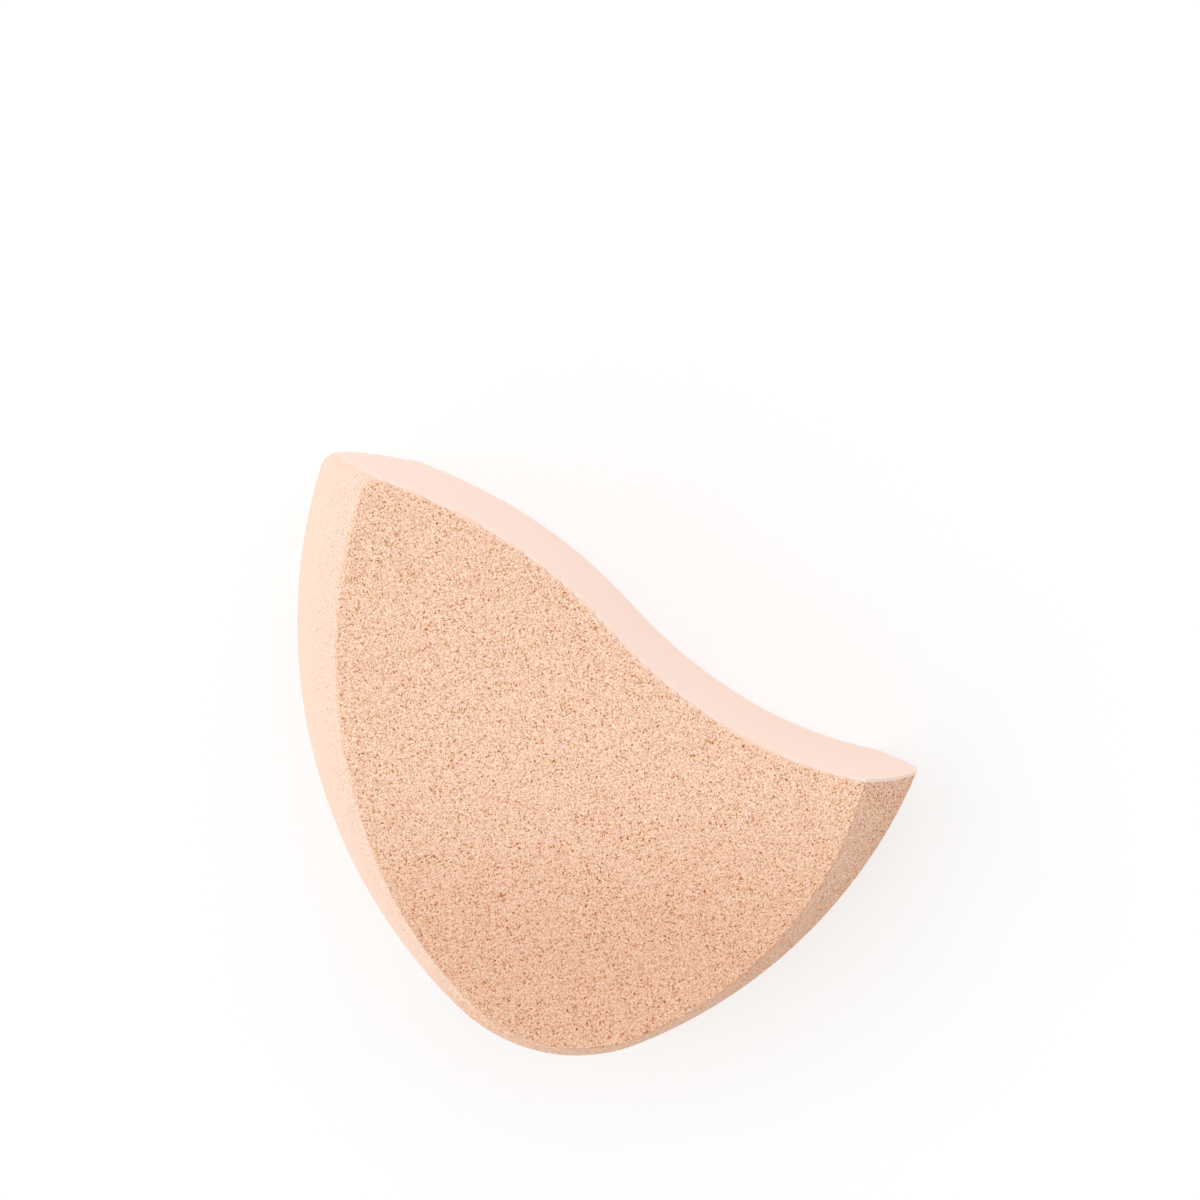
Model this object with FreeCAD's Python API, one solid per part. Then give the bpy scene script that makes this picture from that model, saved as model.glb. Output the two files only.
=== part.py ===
import FreeCAD, Part
import math
import os

# Makeup sponge: an open-cell foam block with a waved top edge and a sealed skin on that edge.
# It lies on its back face. Millimetres, +Z up through the thickness, +X along the waved edge from the
# blunt tip to the sharp tip, +Y from the toe to the waved edge. X starts at the girth's toe, Y at the faces'.

# Body
thickness = 20.0            # back face to front face
girth_height = 10.0         # height of the widest line round the side wall
toe_bulge = 3.0             # how far the girth stands out past the flat faces at the toe
toe_shift = 0.9             # how far the faces' toe is from the girth's, to the sharp side
bulge_power = 1.5           # roundness of the side wall: 1 is a straight bevel, 2 is a parabola
blunt_tip_round = 2.0       # rounding where the side wall meets the waved edge at the blunt tip

# Side wall: four tangent arcs, from the blunt flank over the heel and the toe to the sharp flank
face_blunt_radius = 50.8    # outline of the front and back faces
face_heel_radius = 38.5
face_toe_radius = 14.1
face_sharp_radius = 36.5
girth_blunt_radius = 51.1   # outline of the girth
girth_heel_radius = 50.0
girth_toe_radius = 16.0
girth_sharp_radius = 48.7
heel_heading = -38.8        # heading where the blunt flank meets the heel, in degrees from +X
toe_heading = -16.1         # heading where the heel meets the toe
sharp_heading = 50.2        # heading where the toe meets the sharp flank

# Waved edge: two equal tangent arcs between crest and trough, and a tighter arc out to each tip
crest_height = 41.3         # crest of the wave above the faces' toe
crest_offset = 24.8         # crest of the wave from the girth's toe, to the blunt side
wave_spacing = 33.0         # crest to trough, along X
wave_drop = 5.9             # crest to trough, along Y
blunt_tip_radius = 59.3
sharp_tip_radius = 36.3
skin_thickness = 0.3        # sealed skin on the waved edge

section_count = 9           # outlines that the side wall is lofted through


def heading_point(centre, radius, heading, z):
    """The point of an arc where a walk along it, with the centre on the left, has this heading."""
    turn = math.radians(heading)
    return FreeCAD.Vector(centre.x + radius * math.sin(turn), centre.y - radius * math.cos(turn), z)


def heading_arc(centre, radius, start, end, z):
    """An edge along that arc between two headings."""
    middle = (start + end) / 2
    points = [heading_point(centre, radius, heading, z) for heading in (start, middle, end)]
    return Part.Arc(*points).toShape()


def next_centre(centre, radius, next_radius, heading):
    """The centre of the arc that goes on from this one, tangent to it at the heading."""
    return heading_point(centre, radius - next_radius, heading, 0)


def girth_share(z):
    """How much of the bulge the side wall has at a height: 0 at the flat faces, 1 at the girth."""
    reach = girth_height if z < girth_height else thickness - girth_height
    return 1 - (abs(z - girth_height) / reach) ** bulge_power


def side_outline(z):
    """The blank's outline at a height: the four arcs of the side wall and a straight top."""
    share = girth_share(z)

    def between(face_size, girth_size):
        return face_size + (girth_size - face_size) * share

    blunt = between(face_blunt_radius, girth_blunt_radius)
    heel = between(face_heel_radius, girth_heel_radius)
    toe = between(face_toe_radius, girth_toe_radius)
    sharp = between(face_sharp_radius, girth_sharp_radius)
    toe_centre = FreeCAD.Vector(toe_shift * (1 - share), toe - toe_bulge * share, 0)
    heel_centre = next_centre(toe_centre, toe, heel, toe_heading)
    blunt_centre = next_centre(heel_centre, heel, blunt, heel_heading)
    sharp_centre = next_centre(toe_centre, toe, sharp, sharp_heading)

    # Both flanks run up past the wave, to where the wave cut takes the blank's top off
    top = crest_height + wave_drop
    blunt_top = -math.degrees(math.acos((blunt_centre.y - top) / blunt))
    sharp_top = math.degrees(math.acos((sharp_centre.y - top) / sharp))
    arcs = [
        heading_arc(blunt_centre, blunt, blunt_top, heel_heading, z),
        heading_arc(heel_centre, heel, heel_heading, toe_heading, z),
        heading_arc(toe_centre, toe, toe_heading, sharp_heading, z),
        heading_arc(sharp_centre, sharp, sharp_heading, sharp_top, z),
    ]
    closing = Part.LineSegment(
        heading_point(sharp_centre, sharp, sharp_top, z),
        heading_point(blunt_centre, blunt, blunt_top, z),
    )
    return Part.Wire(arcs + [closing.toShape()])


def make_blank():
    """The foam block before the wave is cut: flat faces and a bulging side wall."""
    heights = [thickness * i / (section_count - 1) for i in range(section_count)]
    return Part.makeLoft([side_outline(z) for z in heights], True, False)


def above_wave(depth):
    """Everything on the outer side of the waved edge moved this far into the foam."""
    wave_radius = (wave_spacing ** 2 + wave_drop ** 2) / (4 * wave_drop)
    slope = math.degrees(math.asin(wave_spacing / (2 * wave_radius)))
    crest = FreeCAD.Vector(-crest_offset, crest_height, 0)
    trough = crest + FreeCAD.Vector(wave_spacing, -wave_drop, 0)
    quarter = 90
    z = -thickness

    def crest_arc(radius, start, end):
        centre = crest - FreeCAD.Vector(0, radius, 0)
        return heading_arc(centre, radius - depth, 180 + start, 180 + end, z)

    def trough_arc(radius, start, end):
        centre = trough + FreeCAD.Vector(0, radius, 0)
        return heading_arc(centre, radius + depth, start, end, z)

    arcs = [
        crest_arc(blunt_tip_radius, quarter, 0),
        crest_arc(wave_radius, 0, -slope),
        trough_arc(wave_radius, -slope, 0),
        trough_arc(sharp_tip_radius, 0, quarter),
    ]
    blunt_end = arcs[0].firstVertex(True).Point
    sharp_end = arcs[-1].lastVertex(True).Point
    top = sharp_end.y + crest_height
    corners = [
        sharp_end,
        FreeCAD.Vector(sharp_end.x, top, z),
        FreeCAD.Vector(blunt_end.x, top, z),
        blunt_end,
    ]
    lines = [Part.LineSegment(a, b).toShape() for a, b in zip(corners, corners[1:])]
    outline = Part.Face(Part.Wire(arcs + lines))
    return outline.extrude(FreeCAD.Vector(0, 0, 3 * thickness))


def round_blunt_tip(shape):
    """The shape with its edge at the blunt tip rounded, where the side wall meets the waved edge."""
    through_edges = [edge for edge in shape.Edges if edge.BoundBox.ZLength > thickness / 2]
    tip_edge = min(through_edges, key=lambda edge: edge.BoundBox.XMin)
    return shape.makeFillet(blunt_tip_round, [tip_edge])


def single_solid(shape):
    """The one solid that a cut leaves."""
    if len(shape.Solids) != 1:
        raise ValueError(f"expected one solid, found {len(shape.Solids)}")
    return shape.Solids[0]


sponge = round_blunt_tip(single_solid(make_blank().cut(above_wave(0))))
foam_core = single_solid(sponge.cut(above_wave(skin_thickness)))
smooth_skin = single_solid(sponge.common(above_wave(skin_thickness)))

# The origin is the middle of the sponge's box, at the back face
box = Part.makeCompound([foam_core, smooth_skin]).optimalBoundingBox()
to_origin = FreeCAD.Vector(-box.Center.x, -box.Center.y, 0)

os.makedirs("parts", exist_ok=True)
for name, solid in (("foam_core", foam_core), ("smooth_skin", smooth_skin)):
    solid.translate(to_origin)
    solid.exportStep(f"parts/{name}.step")
    print(name, "volume", round(solid.Volume, 1), "valid", solid.isValid(), solid.optimalBoundingBox())
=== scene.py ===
import bmesh
import bpy
import math
import numpy as np
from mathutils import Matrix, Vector
from mathutils.bvhtree import BVHTree
from mathutils.kdtree import KDTree


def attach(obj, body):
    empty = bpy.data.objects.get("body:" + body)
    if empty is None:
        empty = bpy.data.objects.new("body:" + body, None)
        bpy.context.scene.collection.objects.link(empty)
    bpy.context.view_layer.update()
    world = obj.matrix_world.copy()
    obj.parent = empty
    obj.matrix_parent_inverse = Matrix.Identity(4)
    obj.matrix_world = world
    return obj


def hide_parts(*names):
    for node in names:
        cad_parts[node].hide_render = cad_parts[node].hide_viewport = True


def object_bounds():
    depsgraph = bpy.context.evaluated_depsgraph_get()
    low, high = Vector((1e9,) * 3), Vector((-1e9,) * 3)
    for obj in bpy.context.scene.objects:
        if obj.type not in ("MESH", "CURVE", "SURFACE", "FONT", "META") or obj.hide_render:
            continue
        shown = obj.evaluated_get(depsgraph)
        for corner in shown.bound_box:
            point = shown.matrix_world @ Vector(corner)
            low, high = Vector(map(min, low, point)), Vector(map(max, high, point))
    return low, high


# Makeup sponge: open-cell foam with real pits, and a smooth sealed skin on its waved edge.
# Metres. The sponge lies on its back face, with its front face up.

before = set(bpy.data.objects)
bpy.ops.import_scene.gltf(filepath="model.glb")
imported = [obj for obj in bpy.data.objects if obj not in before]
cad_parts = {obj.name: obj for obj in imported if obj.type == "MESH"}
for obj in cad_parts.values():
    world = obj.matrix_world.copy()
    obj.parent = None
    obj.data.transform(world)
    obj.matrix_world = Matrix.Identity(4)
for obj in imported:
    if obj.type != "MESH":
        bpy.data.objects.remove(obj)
cad_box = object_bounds()
thickness = cad_box[1].z
half = thickness / 2

# Foam
same_place = 1e-6           # CAD corners nearer to each other than this are one point
foam_grid = 0.00037         # mesh step on the walls and the back; the front face has half of it
front_reach = 0.0006        # how far below the front face the finer mesh starts
even_passes = 2             # smoothing passes that even out the mesh
sharp_turn = 30             # turn between two faces that makes a sharp edge, in degrees
edge_step = 0.00004         # how far apart the points are that mark a sharp edge
tip_reach = 0.004           # how far from the blunt tip's end the CAD facets are smoothed out
tip_passes = 10             # each pass smooths and then swells, so that the tip keeps its size
tip_smooth = 0.5
tip_swell = -0.52
under_skin = 0.00015        # how far the foam reaches into the skin, so that no groove shows between them
skin_start = 0.00001        # how far into the skin its thickness is measured from
level_way = 0.3             # how level the foam's normal has to be to point into the skin
toe_way = (0.468, -0.871, 0)    # from the middle to the toe

# Pores: cells cut open, and the grain of the cell walls between them
pattern_turn = (0.7, 0.5, 0.9)  # turns the pattern off the axes
pit_depth = 0.00012         # depth of the deepest pits
cell_sizes = (              # cells per metre, largest radius in cells, rarity of deep cells, darkness: pit depth and painted pore shade
    (2900, 0.50, 1.0, 0.38),
    (3900, 0.54, 0.5, 0.50),
    (5200, 0.63, 1.0, 0.30),
)
smallest_cell = 0.15        # smallest radius in cells
cell_scatter = 0.85         # how far the cells are from even rows
cell_floor = 0.35           # share of a cell's radius that is its floor
cell_warp = 0.0003          # how far the cells are pulled out of shape
warp_scale = 5200           # noise cells per metre, as in every scale below
grain_sizes = (             # noise cells per metre, octaves, weight
    (4800, 1, 0.28),
    (6000, 0, 0.46),
    (8400, 0, 0.56),
)
plain_tone = 0.62           # tone of the foam between the pores
face_edge = 0.0007          # how far down from its edge a cut face still shows its pores
edge_ragged = 0.0005        # unevenness of that edge
ragged_scale = 1400
girth_reach = half * 0.2    # how far from the middle of the thickness the walls look as at the girth
blunt_wall_pores = (0.3, 1.2)   # how open the pores are on the walls: at the girth and beside the faces
sharp_wall_pores = (1.5, 1.0)
flank_change = (0.009, 0.014)   # where along X the blunt flank's wall changes into the sharp flank's
sharp_tip_shade_fade = (0.0255, 0.030)   # where along X the sharp flank's wall loses some of its painted shade
sharp_tip_shade_left = 0.5        # share of the painted shade that is left there
skin_reach = 0.00025        # how far from the skin the pores close
skin_side_pores = 0.4       # how open they are beside the skin
painted_toe_span = (-0.005, 0.015)     # where along toe_way the faces darken with painted shade
toe_wall = (0.0145, 0.0205)     # where along toe_way the wall gets as porous as the faces
drift_scale = 2600
hue_change = 0.07           # how much the hue drifts from place to place
foam_rough = 0.9            # roughness of plain foam
pore_rough = -0.2           # change of roughness with the relief
foam_bump = 0.00004         # height of the relief's finest part, which the mesh is too coarse for
foam_shine = 0.1

# Skin
skin_rows = 40              # mesh rows from the back to the front
skin_columns = 240          # mesh columns along the wave
skin_rim = 0.0002           # rounding of the skin's front and back rims, down from the face
rim_inset = 0.0001          # rounding of those rims, in from the wave
rim_drop = 0.0001           # how far the rims stay below the foam's faces
rim_steps = 4               # mesh rows round each rim
rim_end = rim_drop + skin_rim   # from the foam's faces to where the rims end
skin_grain_scale = 900
skin_rough = 0.62           # roughness of the skin where its grain is low
skin_rough_change = 0.16    # and how much rougher it is where the grain is high
skin_bump_scale = 3200
skin_bump = 0.00001         # height of the skin's fine bumps
skin_shine = 0.2
facet_passes = 60           # smoothing passes that take the CAD facets out of the wave
nose_columns = 12           # mesh columns at the blunt tip with less smoothing, to keep its rounding

# Colours, linear
foam_and_pore_shade_tones = (              # tone, colour: from a deep pore, whose dark orange brown is painted shade, to the brightest cell wall
    (0.10, (0.46, 0.12, 0.015, 1)),
    (0.29, (0.605, 0.28, 0.115, 1)),
    (0.62, (0.935, 0.62, 0.455, 1)),
    (0.72, (0.985, 0.71, 0.555, 1)),
    (0.85, (0.99, 0.82, 0.68, 1)),
)
wall_cream = (0.92, 0.72, 0.615, 1)     # blunt flank, where the wall is nearly sealed
wall_cream_share = 0.6
skin_side_cream = (0.95, 0.71, 0.57, 1)     # foam beside the skin
skin_side_share = 0.8
painted_toe_darkening = (0.90, 0.83, 0.78, 1)        # painted shade: multiplies the faces' colour at the toe
sharp_wall_painted_shade = (0.96, 0.90, 0.885, 1)    # painted shade: multiplies the sharp flank's colour
skin_colour = (0.96, 0.74, 0.645, 1)
skin_cream = (0.965, 0.755, 0.655, 1)
floor_grey = (0.8, 0.8, 0.8, 1)         # floor as it lights the sponge
white = (1, 1, 1, 1)

# Light: the level that each lamp and the sky give a white surface that faces it
sky_level = 0.615
key_level = 0.42
key_from = (-0.79, -0.43, 0.44)
key_spread = 80
top_level = 0.47
top_from = (0, 0.94, 0.34)
top_spread = 110
fill_level = 0.11
fill_from = (0, -0.92, 0.4)
fill_spread = 80
shadow_share = 0.4          # how much of the shadow the floor shows

# Camera, at the photograph's viewing angle
camera_place = (0.01397, 0.10103, 0.55488)
camera_turn = (-6.716, 5.503, 27.75)
camera_lens = 174.4
nearest_seen = 0.01
floor_size = 20


def new_piece(name, mesh):
    """A new object with this mesh, in the scene."""
    piece = bpy.data.objects.new(name, mesh)
    bpy.context.scene.collection.objects.link(piece)
    return piece


def apply_modifiers(piece):
    """Puts what the modifiers make in the piece's own mesh."""
    graph = bpy.context.evaluated_depsgraph_get()
    made = bpy.data.meshes.new_from_object(piece.evaluated_get(graph))
    piece.modifiers.clear()
    piece.data = made


def joined_copy(node):
    """A copy of a CAD node's mesh with the corners of its faces joined."""
    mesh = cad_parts[node].data.copy()
    mesh.materials.clear()
    work = bmesh.new()
    work.from_mesh(mesh)
    bmesh.ops.remove_doubles(work, verts=work.verts, dist=same_place)
    work.to_mesh(mesh)
    work.free()
    return mesh


def node_in(tree, kind, links=(), **values):
    """A new node with its inputs set by name or linked from other nodes' outputs."""
    node = tree.nodes.new(kind)
    for name, value in values.items():
        setattr(node, name, value)
    for socket, source in dict(links).items():
        target = node.inputs[socket]
        if isinstance(source, bpy.types.NodeSocket):
            tree.links.new(source, target)
        else:
            target.default_value = source
    return node


def maths(tree, operation, *values):
    """The result of one sum on sockets or numbers."""
    return node_in(tree, "ShaderNodeMath", dict(enumerate(values)), operation=operation).outputs[0]


def vector_maths(tree, operation, links):
    """The outputs of one sum on vectors."""
    return node_in(tree, "ShaderNodeVectorMath", links, operation=operation).outputs


def noise_in(tree, place, scale, detail=0, roughness=1):
    """A noise value at a place, about 0.5 on average."""
    settings = {"Vector": place, "Scale": scale, "Detail": detail, "Roughness": roughness}
    return node_in(tree, "ShaderNodeTexNoise", settings)


def eased_range(tree, value, start, end, low, high):
    """A smooth change from low to high while the value goes from start to end."""
    settings = {"Value": value, "From Min": start, "From Max": end, "To Min": low, "To Max": high}
    return node_in(tree, "ShaderNodeMapRange", settings, interpolation_type="SMOOTHSTEP").outputs["Result"]


def turned_place(tree, place):
    """The place turned off the axes, so that no row of noise cells lies along a flat face."""
    settings = {"Vector": place, "Rotation": pattern_turn}
    return node_in(tree, "ShaderNodeVectorRotate", settings, rotation_type="EULER_XYZ").outputs[0]


def open_cells(tree, place):
    """The cells that the cut has opened: 0 on a cell wall, higher in a deeper cell."""
    pull = noise_in(tree, place, warp_scale).outputs["Color"]
    centred = vector_maths(tree, "SUBTRACT", {0: pull, 1: (0.5, 0.5, 0.5)})[0]
    shift = vector_maths(tree, "SCALE", {0: centred, "Scale": cell_warp})[0]
    warped = vector_maths(tree, "ADD", {0: place, 1: shift})[0]
    total = 0.0
    for scale, largest, rarity, darkness in cell_sizes:
        settings = {"Vector": warped, "Scale": scale, "Randomness": cell_scatter}
        cell = node_in(tree, "ShaderNodeTexVoronoi", settings)
        chance = node_in(tree, "ShaderNodeSeparateXYZ", {0: cell.outputs["Color"]})
        radius = maths(tree, "MULTIPLY_ADD", chance.outputs[0], largest - smallest_cell, smallest_cell)
        floor_radius = maths(tree, "MULTIPLY", radius, cell_floor)
        shape = eased_range(tree, cell.outputs["Distance"], radius, floor_radius, 0.0, darkness)
        depth = maths(tree, "POWER", chance.outputs[1], rarity)
        total = maths(tree, "MULTIPLY_ADD", shape, depth, total)
    return total


def foam_grain(tree, place):
    """The fine light and dark grain of the cell walls, 0 on average."""
    total = 0.0
    for scale, detail, weight in grain_sizes:
        noise = noise_in(tree, place, scale, detail).outputs[0]
        total = maths(tree, "MULTIPLY_ADD", noise, weight, total)
    return maths(tree, "SUBTRACT", total, sum(weight for *_, weight in grain_sizes) / 2)


def toe_distance(tree, place):
    """How far a place is along toe_way."""
    return vector_maths(tree, "DOT_PRODUCT", {0: place, 1: toe_way})["Value"]


def wall_parts(tree, place):
    """The height from the middle, and the shares of the cut faces, faces with toe, and blunt flank."""
    x, _, height = node_in(tree, "ShaderNodeSeparateXYZ", {0: place}).outputs
    from_middle = maths(tree, "ABSOLUTE", maths(tree, "SUBTRACT", height, half))
    ragged = noise_in(tree, place, ragged_scale, 1).outputs[0]
    uneven = maths(tree, "MULTIPLY_ADD", ragged, edge_ragged, from_middle)
    cut = eased_range(tree, uneven, half - face_edge + edge_ragged / 2, half, 0.0, 1.0)
    toe = eased_range(tree, toe_distance(tree, place), *toe_wall, 0.0, 1.0)
    face = maths(tree, "MAXIMUM", cut, toe)
    blunt = eased_range(tree, x, *flank_change, 1.0, 0.0)
    return from_middle, cut, face, blunt


def blend(tree, share, low, high):
    """A value between low and high."""
    return node_in(tree, "ShaderNodeMix", {0: share, 2: low, 3: high}).outputs[0]


def pore_share(tree, place, gap):
    """How open the pores are: 1 on the cut front and back, less on the walls and beside the skin."""
    from_middle, _, face, blunt = wall_parts(tree, place)
    blunt_wall = eased_range(tree, from_middle, girth_reach, half, *blunt_wall_pores)
    sharp_wall = eased_range(tree, from_middle, girth_reach, half, *sharp_wall_pores)
    wall = blend(tree, blunt, sharp_wall, blunt_wall)
    pores = blend(tree, face, wall, 1.0)
    beside_skin = eased_range(tree, gap, 0.0, skin_reach, skin_side_pores, 1.0)
    return maths(tree, "MULTIPLY", pores, beside_skin)


def pit_modifier():
    """A node tree that sinks the open cells into the foam."""
    tree = bpy.data.node_groups.new("pits", "GeometryNodeTree")
    tree.interface.new_socket("Geometry", in_out="INPUT", socket_type="NodeSocketGeometry")
    tree.interface.new_socket("Geometry", in_out="OUTPUT", socket_type="NodeSocketGeometry")
    start = node_in(tree, "NodeGroupInput")
    end = node_in(tree, "NodeGroupOutput")
    stored = "GeometryNodeInputNamedAttribute"
    rest = node_in(tree, stored, {"Name": "rest"}, data_type="FLOAT_VECTOR").outputs[0]
    gap = node_in(tree, stored, {"Name": "skin_gap"}, data_type="FLOAT").outputs[0]
    normal = node_in(tree, "GeometryNodeInputNormal").outputs[0]
    cells = open_cells(tree, turned_place(tree, rest))
    depth = maths(tree, "MULTIPLY", cells, pore_share(tree, rest, gap))
    sink = maths(tree, "MULTIPLY", depth, -pit_depth)
    move = vector_maths(tree, "SCALE", {0: normal, "Scale": sink})[0]
    sunk = node_in(tree, "GeometryNodeSetPosition", {"Geometry": start.outputs[0], "Offset": move})
    tree.links.new(sunk.outputs[0], end.inputs[0])
    return tree


def settle_foam(mesh):
    """Pushes the foam under the skin, and keeps the places before that and the distance from the skin."""
    skin = joined_copy("smooth_skin")
    tree = BVHTree.FromPolygons([v.co for v in skin.vertices], [p.vertices for p in skin.polygons])
    count = len(mesh.vertices)
    rest = np.zeros(count * 3, np.float32)
    normals = np.zeros(count * 3, np.float32)
    mesh.vertices.foreach_get("co", rest)
    mesh.vertex_normals.foreach_get("vector", normals)
    points = rest.reshape(-1, 3).astype(float)
    normals = normals.reshape(-1, 3)
    gap = np.array([tree.find_nearest(point)[3] for point in points.tolist()])

    for index in np.flatnonzero(gap < under_skin):
        way = Vector((*normals[index, :2], 0))
        if way.length < level_way:
            continue
        way.normalize()
        x, y, z = points[index]
        inside = Vector((x, y, min(max(z, rim_end), thickness - rim_end))) + way * skin_start
        through = tree.ray_cast(inside, way)[3]
        if through is not None:
            points[index, :2] += way.xy * min(under_skin, through / 2)
    mesh.vertices.foreach_set("co", points.ravel())
    mesh.attributes.new("rest", "FLOAT_VECTOR", "POINT").data.foreach_set("vector", rest)
    mesh.attributes.new("skin_gap", "FLOAT", "POINT").data.foreach_set("value", gap)
    mesh.update()


def sharp_edge_tree(mesh):
    """A search tree of points along the sharp edges of a CAD solid."""
    work = bmesh.new()
    work.from_mesh(mesh)
    marks = []
    for edge in work.edges:
        if edge.calc_face_angle(0) > math.radians(sharp_turn):
            start, end = (vert.co for vert in edge.verts)
            steps = math.ceil((end - start).length / edge_step)
            marks += [start.lerp(end, step / steps) for step in range(steps + 1)]
    work.free()
    tree = KDTree(len(marks))
    for index, mark in enumerate(marks):
        tree.insert(mark, index)
    tree.balance()
    return tree


def sharpen_edges(work, solid_mesh):
    """Puts mesh points on the solid's sharp edges, smooths the blunt tip and marks the edges sharp."""
    tree = sharp_edge_tree(solid_mesh)
    on_edge = set()
    for vert in work.verts:
        place, _, distance = tree.find(vert.co)
        if distance < foam_grid / 2:
            vert.co = place
            on_edge.add(vert)
    tip_end = cad_box[0].x + tip_reach
    tip = [vert for vert in work.verts if vert.co.x < tip_end and vert not in on_edge]
    all_ways = {"use_axis_x": True, "use_axis_y": True, "use_axis_z": True}
    for factor in (tip_smooth, tip_swell) * tip_passes:
        bmesh.ops.smooth_vert(work, verts=tip, factor=factor, **all_ways)
    work.normal_update()
    for edge in work.edges:
        if on_edge.issuperset(edge.verts) and edge.calc_face_angle(0) > math.radians(sharp_turn):
            edge.smooth = False


def make_foam():
    """The foam: an even mesh of the CAD solid, finer on the front face, with pits sunk in it."""
    foam = new_piece("foam", joined_copy("foam_core"))
    remesh = foam.modifiers.new("even mesh", "REMESH")
    remesh.mode = "VOXEL"
    remesh.voxel_size = foam_grid
    smooth = foam.modifiers.new("even steps", "SMOOTH")
    smooth.iterations = even_passes
    solid = new_piece("solid", joined_copy("foam_core"))
    settle = foam.modifiers.new("back to the solid", "SHRINKWRAP")
    settle.target = solid
    apply_modifiers(foam)

    work = bmesh.new()
    work.from_mesh(foam.data)
    sharpen_edges(work, solid.data)
    bpy.data.objects.remove(solid)
    lowest = thickness - front_reach
    front_edges = [edge for edge in work.edges if min(v.co.z for v in edge.verts) > lowest]
    bmesh.ops.subdivide_edges(work, edges=front_edges, cuts=1, use_grid_fill=True)
    bmesh.ops.triangulate(work, faces=work.faces)
    work.to_mesh(foam.data)
    work.free()

    settle_foam(foam.data)
    pits = foam.modifiers.new("pits", "NODES")
    pits.node_group = pit_modifier()
    apply_modifiers(foam)
    foam.data.shade_smooth()
    return foam


def section(mesh, height):
    """The outline of a closed mesh at a height, in order, as an array of x and y."""
    work = bmesh.new()
    work.from_mesh(mesh)
    everything = work.verts[:] + work.edges[:] + work.faces[:]
    cut = bmesh.ops.bisect_plane(work, geom=everything, plane_co=(0, 0, height), plane_no=(0, 0, 1))
    edges = [item for item in cut["geom_cut"] if isinstance(item, bmesh.types.BMEdge)]
    beside = {}
    for edge in edges:
        a, b = edge.verts
        beside.setdefault(a, []).append(b)
        beside.setdefault(b, []).append(a)
    loop = [edges[0].verts[0], edges[0].verts[1]]
    while loop[-1] is not loop[0]:
        nearby = beside[loop[-1]]
        loop.append(nearby[1] if nearby[0] is loop[-2] else nearby[0])
    points = np.array([vert.co[:2] for vert in loop[:-1]])
    work.free()
    return points


def evenly(points, count):
    """A run of points placed again at even steps, with the same ends."""
    steps = np.linalg.norm(np.diff(points, axis=0), axis=1)
    along = np.concatenate([[0], np.cumsum(steps)])
    places = np.linspace(0, along[-1], count)
    return np.stack([np.interp(places, along, points[:, axis]) for axis in range(2)], 1)


def eased(points, passes):
    """A run of points smoothed with its ends held, and less near its first end."""
    points = points.copy()
    columns = np.arange(1, len(points) - 1)[:, None]
    strength = np.minimum(columns / nose_columns, 1) ** 2 / 4
    for _ in range(passes):
        points[1:-1] += (points[:-2] + points[2:] - 2 * points[1:-1]) * strength
    return points


def skin_section(mesh, height):
    """The skin's outer and inner run at a height, each from the blunt tip to the sharp tip."""
    points = section(mesh, height)
    area = np.sum(points[:, 0] * np.roll(points[:, 1], -1) - points[:, 1] * np.roll(points[:, 0], -1))
    if area > 0:
        points = points[::-1]
    points = np.roll(points, -points[:, 0].argmin(), axis=0)
    ahead = np.roll(points, -1, axis=0) - points
    behind = points - np.roll(points, 1, axis=0)
    turn = np.abs(np.arctan2(
        ahead[:, 0] * behind[:, 1] - ahead[:, 1] * behind[:, 0], np.sum(ahead * behind, axis=1)
    ))
    turn[points[:, 0] < 0] = 0
    outer_corner, inner_corner = sorted(np.argsort(turn)[-2:])
    outer = points[: outer_corner + 1]
    inner = np.concatenate([points[inner_corner:], points[:1]])[::-1]
    return [eased(evenly(run, skin_columns), facet_passes) for run in (outer, inner)]


def outward(run):
    """Unit vectors square to a run that goes from the blunt tip to the sharp tip, away from the foam."""
    along = np.gradient(run, axis=0)
    square = np.stack([-along[:, 1], along[:, 0]], 1)
    return square / np.linalg.norm(square, axis=1)[:, None]


def make_skin():
    """The skin: rows of the CAD solid's outlines from back to front, with rounded rims."""
    mesh = joined_copy("smooth_skin")
    turns = np.linspace(0, math.pi / 2, rim_steps)
    rims = [(rim_drop + skin_rim * (1 - math.sin(t)), rim_inset * (1 - math.cos(t))) for t in turns[::-1]]
    rows = list(rims)
    middle = np.linspace(rim_end, thickness - rim_end, skin_rows)[1:-1]
    rows += [(height, 0.0) for height in middle]
    rows += [(thickness - height, inset) for height, inset in reversed(rims)]
    loops = []
    for height, inset in rows:
        outer, inner = skin_section(mesh, height)
        outer = outer - outward(outer) * inset
        flat = np.concatenate([outer, inner[::-1]])
        loops.append(np.column_stack([flat, np.full(len(flat), height)]))
    round_count = len(loops[0])
    points = np.concatenate(loops)
    faces = []
    for row in range(len(loops) - 1):
        for i in range(round_count):
            j = (i + 1) % round_count
            low = row * round_count
            high = low + round_count
            faces.append((low + j, low + i, high + i, high + j))
    last = (len(loops) - 1) * round_count
    for i in range(skin_columns - 1):
        opposite = round_count - 1 - i
        faces.append((i, i + 1, opposite - 1, opposite))
        faces.append((last + opposite, last + opposite - 1, last + i + 1, last + i))
    made = bpy.data.meshes.new("skin")
    made.from_pydata(points.tolist(), [], faces)
    made.validate()
    made.shade_smooth()
    made.set_sharp_from_angle(angle=math.radians(sharp_turn))
    return new_piece("skin", made)


def tint(tree, share, colour, other, way="MIX"):
    """A colour mixed with another one."""
    mix = node_in(tree, "ShaderNodeMix", {0: share, 6: colour, 7: other}, data_type="RGBA", blend_type=way)
    return mix.outputs[2]


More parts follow.
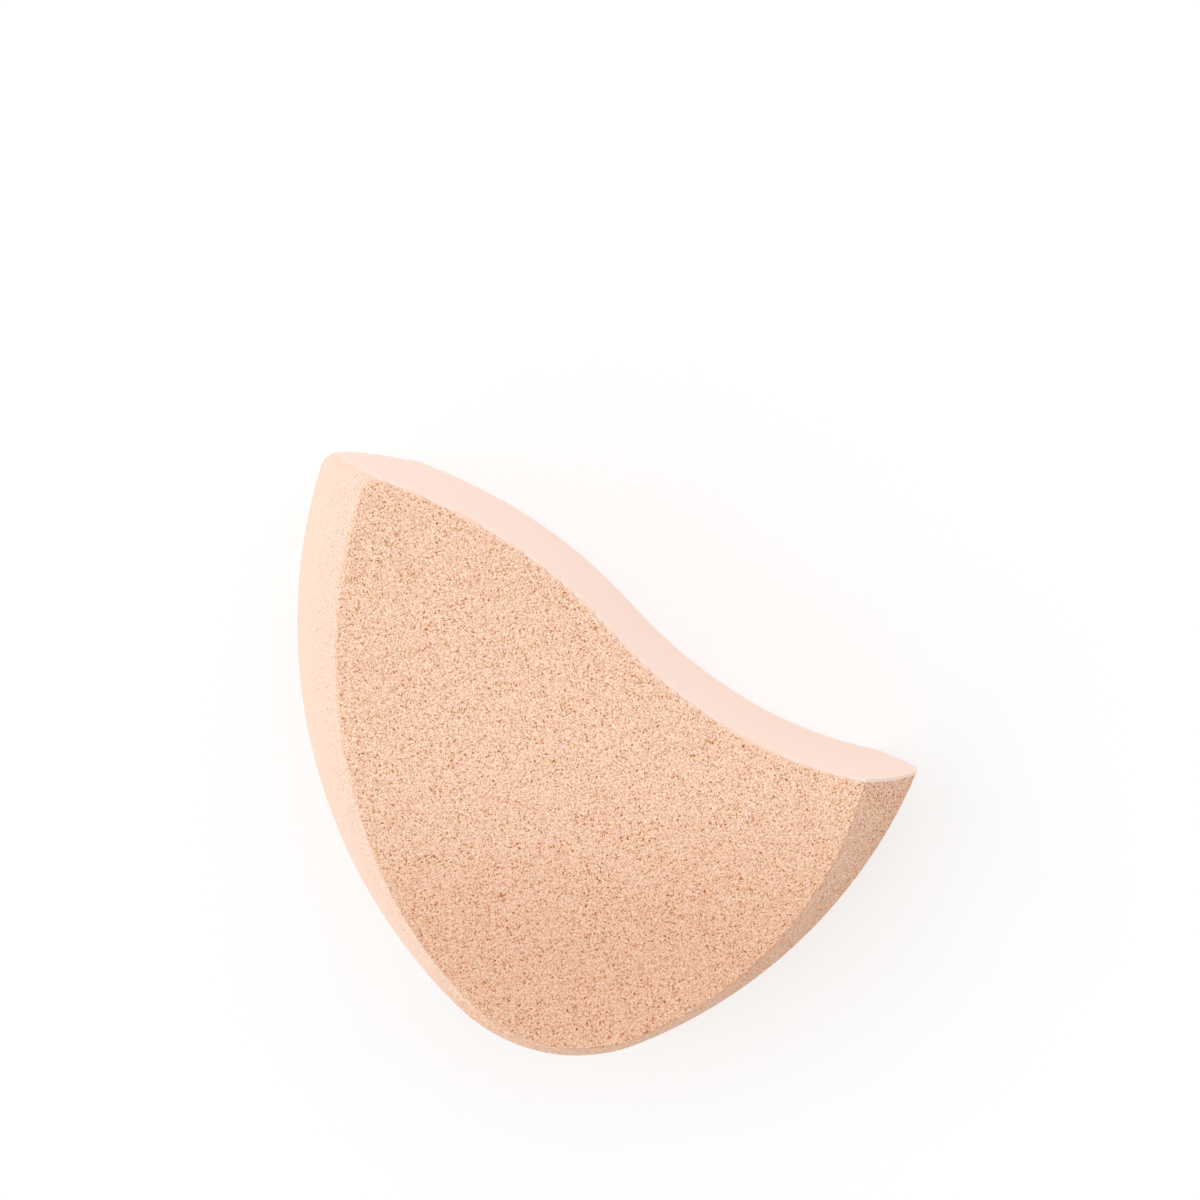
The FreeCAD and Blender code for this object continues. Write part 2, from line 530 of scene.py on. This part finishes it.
def foam_material():
    """Foam: the same pore pattern as the pits, cream on the cell walls and painted orange-brown shade in
    the pores.
    """
    material = bpy.data.materials.new("foam")
    material.use_nodes = True
    tree = material.node_tree
    shader = tree.nodes["Principled BSDF"]
    rest = node_in(tree, "ShaderNodeAttribute", attribute_name="rest").outputs["Vector"]
    gap = node_in(tree, "ShaderNodeAttribute", attribute_name="skin_gap").outputs["Fac"]
    turned = turned_place(tree, rest)
    pattern = maths(tree, "SUBTRACT", foam_grain(tree, turned), open_cells(tree, turned))
    relief = maths(tree, "MULTIPLY", pattern, pore_share(tree, rest, gap))
    tone = maths(tree, "ADD", relief, plain_tone)

    # The ramp's dark end paints shade into the sunk pores; its upper end is the cell walls' own grain.
    ramp = node_in(tree, "ShaderNodeValToRGB", {"Fac": tone})
    stops = ramp.color_ramp.elements
    while len(stops) < len(foam_and_pore_shade_tones):
        stops.new(1.0)
    for stop, (position, colour) in zip(stops, foam_and_pore_shade_tones):
        stop.position = position
        stop.color = colour
    drift = noise_in(tree, turned, drift_scale, 1).outputs[0]
    hue = maths(tree, "MULTIPLY_ADD", drift, hue_change, 0.5 - hue_change / 2)
    mottle = node_in(tree, "ShaderNodeHueSaturation", {"Hue": hue, "Color": ramp.outputs["Color"]})
    _, cut, face, blunt = wall_parts(tree, rest)
    wall = maths(tree, "SUBTRACT", 1.0, face)
    pale = maths(tree, "MULTIPLY", maths(tree, "MULTIPLY", wall, blunt), wall_cream_share)
    flanked = tint(tree, pale, mottle.outputs[0], wall_cream)
    # Painted shade: the sharp flank's wall is darkened in colour, less towards the sharp tip.
    x = node_in(tree, "ShaderNodeSeparateXYZ", {0: rest}).outputs[0]
    flank_shade_share = eased_range(tree, x, *sharp_tip_shade_fade, 1.0, sharp_tip_shade_left)
    sharp_flank_shade = maths(tree, "MULTIPLY", flank_shade_share, maths(tree, "SUBTRACT", 1.0, blunt))
    sharp_wall = maths(tree, "MULTIPLY", wall, sharp_flank_shade)
    shaded_wall_colour = tint(tree, sharp_wall, flanked, sharp_wall_painted_shade, "MULTIPLY")
    beside_skin = eased_range(tree, gap, 0.0, skin_reach, skin_side_share, 0.0)
    edged = tint(tree, beside_skin, shaded_wall_colour, skin_side_cream)
    # Painted shade: the faces darken in colour towards the toe.
    fall = eased_range(tree, toe_distance(tree, rest), *painted_toe_span, 0.0, 1.0)
    shade = maths(tree, "MULTIPLY", fall, cut)
    colour = tint(tree, shade, edged, painted_toe_darkening, "MULTIPLY")
    tree.links.new(colour, shader.inputs["Base Color"])
    rough = maths(tree, "MULTIPLY_ADD", relief, pore_rough, foam_rough)
    tree.links.new(rough, shader.inputs["Roughness"])
    bump = node_in(tree, "ShaderNodeBump", {"Height": relief, "Distance": foam_bump})
    tree.links.new(bump.outputs[0], shader.inputs["Normal"])
    shader.inputs["Specular IOR Level"].default_value = foam_shine
    return material


def skin_material():
    """Skin: a smooth matt film, paler and pinker than the foam, with a very fine grain."""
    material = bpy.data.materials.new("skin")
    material.use_nodes = True
    tree = material.node_tree
    shader = tree.nodes["Principled BSDF"]
    place = node_in(tree, "ShaderNodeTexCoord").outputs["Object"]
    grain = noise_in(tree, place, skin_grain_scale, 3, 0.5).outputs[0]
    tree.links.new(tint(tree, grain, skin_colour, skin_cream), shader.inputs["Base Color"])
    rough = maths(tree, "MULTIPLY_ADD", grain, skin_rough_change, skin_rough)
    tree.links.new(rough, shader.inputs["Roughness"])
    fine = noise_in(tree, place, skin_bump_scale, 2).outputs[0]
    bump = node_in(tree, "ShaderNodeBump", {"Height": fine, "Distance": skin_bump})
    tree.links.new(bump.outputs[0], shader.inputs["Normal"])
    shader.inputs["Specular IOR Level"].default_value = skin_shine
    return material


def seen_share(tree):
    """1 for a ray that shows the background: straight to the camera, mirrored or through glass."""
    path = node_in(tree, "ShaderNodeLightPath").outputs
    either = maths(tree, "MAXIMUM", path["Is Camera Ray"], path["Is Glossy Ray"])
    return maths(tree, "MAXIMUM", either, path["Is Transmission Ray"])


def make_stage():
    """A white floor under an even white sky."""
    bpy.ops.mesh.primitive_plane_add(size=floor_size)
    floor = bpy.context.object
    floor.name = "floor"
    material = bpy.data.materials.new("floor")
    material.use_nodes = True
    tree = material.node_tree
    shader = tree.nodes["Principled BSDF"]
    tree.links.new(tint(tree, seen_share(tree), floor_grey, white), shader.inputs["Base Color"])
    shader.inputs["Roughness"].default_value = 1
    shader.inputs["Specular IOR Level"].default_value = 0
    glow = node_in(tree, "ShaderNodeEmission", {"Color": white, "Strength": 1.0})
    glow_share = maths(tree, "MULTIPLY", seen_share(tree), 1 - shadow_share)
    both = node_in(tree, "ShaderNodeMixShader", {0: glow_share, 1: shader.outputs[0], 2: glow.outputs[0]})
    tree.links.new(both.outputs[0], tree.nodes["Material Output"].inputs["Surface"])
    floor.data.materials.append(material)

    world = bpy.data.worlds.new("sky")
    world.use_nodes = True
    bpy.context.scene.world = world
    tree = world.node_tree
    sky = tree.nodes["Background"]
    sky.inputs["Color"].default_value = white
    tree.links.new(blend(tree, seen_share(tree), sky_level, 1.0), sky.inputs["Strength"])


def add_lamp(name, level, light_from, spread):
    """A broad, even lamp that gives a white surface facing it this level."""
    lamp = bpy.data.lights.new(name, "SUN")
    lamp.energy = level * math.pi
    lamp.angle = math.radians(spread)
    holder = bpy.data.objects.new(name, lamp)
    holder.rotation_euler = Vector(light_from).to_track_quat("Z", "Y").to_euler()
    bpy.context.scene.collection.objects.link(holder)


def add_camera():
    """The camera, which becomes the scene's."""
    camera = bpy.data.cameras.new("camera")
    camera.lens = camera_lens
    camera.clip_start = nearest_seen
    holder = bpy.data.objects.new("camera", camera)
    holder.location = camera_place
    holder.rotation_euler = [math.radians(turn) for turn in camera_turn]
    bpy.context.scene.collection.objects.link(holder)
    bpy.context.scene.camera = holder


foam = make_foam()
foam.data.materials.append(foam_material())
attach(foam, "root")
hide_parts("foam_core")

skin = make_skin()
skin.data.materials.append(skin_material())
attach(skin, "root")
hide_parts("smooth_skin")

make_stage()
add_lamp("key", key_level, key_from, key_spread)
add_lamp("top", top_level, top_from, top_spread)
add_lamp("fill", fill_level, fill_from, fill_spread)
add_camera()
bpy.context.scene.view_settings.view_transform = "Standard"
